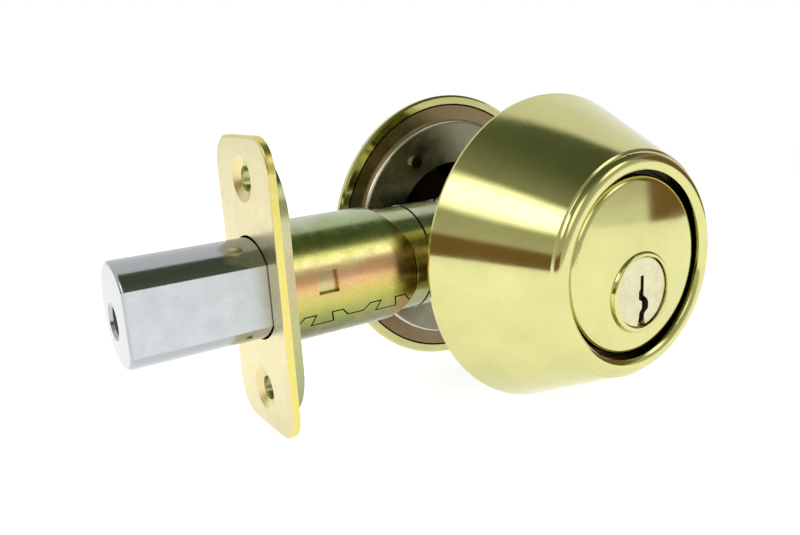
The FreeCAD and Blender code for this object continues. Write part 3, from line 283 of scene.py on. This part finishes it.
def polished_brass(name, shaded_where=None):
    """Lacquered brass: slightly wavy, with a fine speckle and faint hairlines.
    The optional mask is 1 where a near-black painted shade covers it, in hollows and gaps."""
    g = metal(name)
    shade = speckled(g, BRASS, 9.0, 0.25, 0.07)
    if shaded_where:
        # Painted shade: near-black in the hollows and gaps given by the mask
        shade = g.blend(shaded_where(g), shade, PAINTED_SHADE)
    hairline = g.noise(0.25, 2.0, (1, 14, 1))
    roughness = g.maths("ADD", g.span(g.noise(6.0, 3.0), 0.3, 0.7, POLISH * 0.8, POLISH * 1.3),
                        g.span(hairline, 0.55, 0.75, 0.0, 0.05))
    return finish(g, shade, roughness, [(g.noise(7.0, 1.0), 0.014), (g.noise(0.5, 2.0), 0.0010)])


def satin_brass(name, colour=(0.70, 0.63, 0.36)):
    """The faceplate: brushed up and down, clear lacquer, with a painted saturated-yellow highlight on its
    rounded sides.
    """
    g = metal(name)
    shade = speckled(g, colour, 7.0, 0.3, 0.06)
    brushed = g.noise(0.18, 3.0, (1, 1, 22))
    shade = g.blend(g.span(brushed, 0.4, 0.7, 0.0, 0.3), shade, tint(colour, 0.86))
    # Painted highlight: saturated yellow on the faceplate's rounded sides
    shade = edge_highlight(g, "X", shade, (0.72, 0.62, 0.19))
    return finish(g, shade, g.span(g.noise(3.0, 3.0), 0.3, 0.7, 0.24, 0.34),
                  [(brushed, 0.0010), (g.noise(0.4, 2.0), 0.0012)])


# The chromate's colours, from the bottom of a piece to its top; the lowest stops are darker, painted
# shade
CHROMATE_AND_SHADE = [
    (0.14, (0.15, 0.17, 0.06)),
    (0.26, (0.30, 0.33, 0.09)),
    (0.38, (0.50, 0.47, 0.13)),
    (0.46, (0.62, 0.49, 0.15)),
    (0.56, (0.72, 0.42, 0.20)),
    (0.65, (0.78, 0.46, 0.26)),
    (0.71, (0.84, 0.72, 0.36)),
    (0.79, (0.60, 0.58, 0.18)),
    (0.88, (0.40, 0.48, 0.15)),
    (0.95, (0.38, 0.47, 0.26)),
    (1.00, (0.50, 0.57, 0.42)),
]
# At a cut end, in metres before it: the painted shade and reflection of the collar, the painted shadow
# line and the painted highlight rim
COLLAR_SHADE_START, COLLAR_SHADE_END = 5.5 * MM, 1.5 * MM
SHADOW_LINE, HIGHLIGHT_RIM, BLUR = 0.75 * MM, 0.50 * MM, 0.10 * MM


def yellow_zinc(name, half_height, grey=0.0, bleach=(0.46, 0.48, 0.38), end=None):
    """Yellow chromate on zinc.  The film's thickness follows how the passivating
    bath drained, so the colour runs in bands by height, broken by clouds; the
    lowest bands are darker, painted shade.  grey turns it to the bleach colour.
    Near a cut end it has a painted brown shade and reflection of the collar,
    then a painted shadow line and a painted highlight rim."""
    g = metal(name)
    height = g.span(g.axis("Z"), -half_height * MM, half_height * MM)
    # The lowest bands darken towards the bottom: painted shade
    shade = g.ramp(g.maths("ADD", height, g.span(g.noise(11.0, 3.0), 0.25, 0.75, -0.05, 0.05)), CHROMATE_AND_SHADE)
    rosy = g.span(g.noise(5.0, 4.0), 0.55, 0.72, 0.0, 0.30)
    shade = g.blend(rosy, shade, (0.58, 0.36, 0.20))
    green = g.span(g.noise(3.6, 4.0), 0.58, 0.74, 0.0, 0.25)
    shade = g.blend(green, shade, (0.28, 0.40, 0.14))
    shade = g.blend(g.span(g.noise(0.3, 2.0), 0.35, 0.7, 0.0, 0.25), shade, (0.20, 0.20, 0.08))
    if end:
        along = g.maths("ADD", g.axis("X"), g.span(g.noise(6.0, 3.0), 0.3, 0.7, -0.002, 0.002))
        # Painted shade and reflection of the collar, brown, near the cut end
        collar_shade = g.span(along, end - COLLAR_SHADE_START, end - COLLAR_SHADE_END, 0.0, 0.75, smooth=True)
        shade = g.blend(collar_shade, shade, (0.30, 0.17, 0.05))
        # A painted shadow line, then a painted highlight rim, at the cut end
        for before, colour in [(SHADOW_LINE, (0.04, 0.025, 0.01)), (HIGHLIGHT_RIM, (0.86, 0.78, 0.50))]:
            shade = g.blend(g.span(g.axis("X"), end - before, end - before + BLUR), shade, colour)
    if grey:
        shade = g.blend(grey, shade, bleach)
    return finish(g, shade, g.span(g.noise(2.0, 3.0), 0.3, 0.7, 0.17, 0.28),
                  [(g.noise(0.35, 3.0), 0.0018), (g.noise(5.0, 1.0), 0.006)])


BOLT_FLAT = -7.88 * MM  # the bolt's flat, which faces the outdoor side


def zinc_steel(name, colour=(0.55, 0.58, 0.61)):
    """Bright zinc on steel: drawn along its length, spangled, satin on its flat, and darker off the
    bolt's flat as painted shade.
    """
    g = metal(name)
    shade = speckled(g, colour, 3.0, 0.22, 0.08)
    drawn = g.noise(0.2, 3.0, (30, 1, 1))
    shade = g.blend(g.span(drawn, 0.45, 0.75, 0.0, 0.3), shade, tint(colour, 0.84))
    smut = g.span(g.noise(1.2, 4.0, rough=0.65), 0.60, 0.74, 0.0, 0.35)
    shade = g.blend(smut, shade, (0.34, 0.34, 0.34))
    flat = g.span(g.axis("Y"), BOLT_FLAT + 0.08 * MM, BOLT_FLAT)
    # Painted shade: darker everywhere but the bolt's flat
    shade = g.blend(flat, tint(colour, 0.72), shade)
    dulled = g.span(g.noise(0.8, 3.0), 0.3, 0.7, 0.0, 0.08)
    roughness = g.maths("ADD", g.span(flat, 0, 1, 0.10, 0.34), dulled)
    return finish(g, shade, roughness, [(drawn, 0.0010), (g.noise(0.6, 3.0), 0.0022)])


def nickel_brass(name, colour=(0.66, 0.63, 0.42)):
    """The plug: turned and brushed, slightly grey."""
    g = metal(name)
    brushed = g.noise(0.16, 3.0, (1, 1, 16))
    shade = speckled(g, colour, 2.5, 0.2, 0.10)
    shade = g.blend(g.span(brushed, 0.4, 0.7, 0.0, 0.35), shade, tint(colour, 0.78))
    return finish(g, shade, g.span(g.noise(1.0, 3.0), 0.3, 0.7, 0.22, 0.34),
                  [(brushed, 0.0016), (g.noise(0.4, 2.0), 0.0015)])


def hardened_steel(name, colour=(0.30, 0.30, 0.31)):
    """The pin in the bolt: dark and unplated."""
    g = metal(name)
    shade = speckled(g, colour, 2.0, 0.2, 0.2)
    return finish(g, shade, g.span(g.noise(1.0, 3.0), 0.3, 0.7, 0.25, 0.42), [(g.noise(0.4, 3.0), 0.003)])


# Radii about the cross bore's axis, in metres, each with the width of its fade
DISH_R, DISH_FADE = 26.6 * MM, 0.3 * MM
CROWN_R, CROWN_FADE = 25.2 * MM, 0.4 * MM
CROWN_WALL = 0.9 * MM
# The painted shade in the lip's gap starts at GAP_START and is full at GAP_DARK
GAP_IN_R, GAP_IN_FADE = 17.05 * MM, 0.1 * MM
GAP_OUT_R, GAP_OUT_FADE = 18.5 * MM, 0.4 * MM
GAP_START, GAP_DARK = 0.9 * MM, 1.5 * MM  # depths behind the collar's lip


def off_axis(g):
    """Distance from the axis of the cross bore."""
    x = g.maths("SUBTRACT", g.axis("X"), BACKSET)
    z = g.axis("Z")
    return g.maths("SQRT", g.maths("ADD", g.maths("MULTIPLY", x, x), g.maths("MULTIPLY", z, z)))


def plate_steel(name):
    """The mounting plate: a brown flange round an olive-grey dish, partly the steel's own tone and partly
    painted shade of the rose's hollow.
    """
    g = metal(name)
    # Partly the steel's own colour, partly painted shade of the hollow within the rose
    dish = speckled(g, (0.27, 0.26, 0.19), 8.0, 0.3, 0.12)
    flange = speckled(g, (0.26, 0.19, 0.10), 8.0, 0.3, 0.12)
    shade = g.blend(g.span(off_axis(g), DISH_R, DISH_R + DISH_FADE), dish, flange)
    shade = g.blend(g.span(g.noise(6.0, 3.0), 0.45, 0.7, 0.0, 0.4), shade, (0.24, 0.24, 0.16))
    # Painted highlight: a pale line on the plate's step and rims
    shade = edge_highlight(g, "Y", shade, (0.80, 0.72, 0.60))
    return finish(g, shade, g.span(g.noise(3.0, 3.0), 0.3, 0.7, 0.20, 0.30),
                  [(g.noise(0.4, 3.0), 0.0015), (g.noise(9.0, 1.0), 0.015)])


def shade_in_crown(g):
    """Painted shade: the hollow of the rose's crown."""
    below = g.span(g.axis("Y"), ROSE_TOP - CROWN_WALL + 0.2 * MM, ROSE_TOP - CROWN_WALL)
    return g.maths("MULTIPLY", g.span(off_axis(g), CROWN_R + CROWN_FADE, CROWN_R), below)


def shade_in_gap(g):
    """Painted shade: down in the gap between the collar's lip and the cylinder's disc."""
    radius = off_axis(g)
    within = g.span(radius, GAP_OUT_R + GAP_OUT_FADE, GAP_OUT_R)
    around = g.span(radius, GAP_IN_R, GAP_IN_R + GAP_IN_FADE)
    deep = g.span(g.axis("Y"), LIP_FRONT + GAP_START, LIP_FRONT + GAP_DARK)
    return g.maths("MULTIPLY", within, g.maths("MULTIPLY", around, deep))


# Finishes of single pieces, and those shared by every other piece of a slot
SPECIAL = {
    "latch_tube": lambda n: yellow_zinc(n, 11.9, end=TUBE_END),
    "backplate": lambda n: yellow_zinc(n, 30.0, grey=0.6, bleach=(0.36, 0.40, 0.26)),
    "inner_sleeve": lambda n: yellow_zinc(n, 10.9, grey=0.5, bleach=(0.46, 0.48, 0.28)),
    "cam_case_exterior": lambda n: yellow_zinc(n, 11.0, grey=0.6),
    "cam_case_interior": lambda n: yellow_zinc(n, 11.0, grey=0.6),
    "mounting_plate": plate_steel,
    "interior_rose": lambda n: polished_brass(n, shaded_where=shade_in_crown),
    "cylinder_housing": lambda n: polished_brass(n, shaded_where=shade_in_gap),
}
FINISHES = {
    "polished_brass": polished_brass,
    "satin_brass": satin_brass,
    "nickel_brass": nickel_brass,
    "yellow_zinc": lambda n: yellow_zinc(n, 12.0, grey=0.25),
    "zinc_steel": zinc_steel,
    "hardened_steel": hardened_steel,
}
shared = {}
for subpart in frame["record"]["subparts"]:
    name, slot = subpart["node"], subpart["material_slot"]
    if name in SPECIAL:
        material = SPECIAL[name](name)
    else:
        shared[slot] = shared.get(slot) or FINISHES[slot](slot)
        material = shared[slot]
    mesh = nodes[name].data
    mesh.materials.clear()
    mesh.materials.append(material)
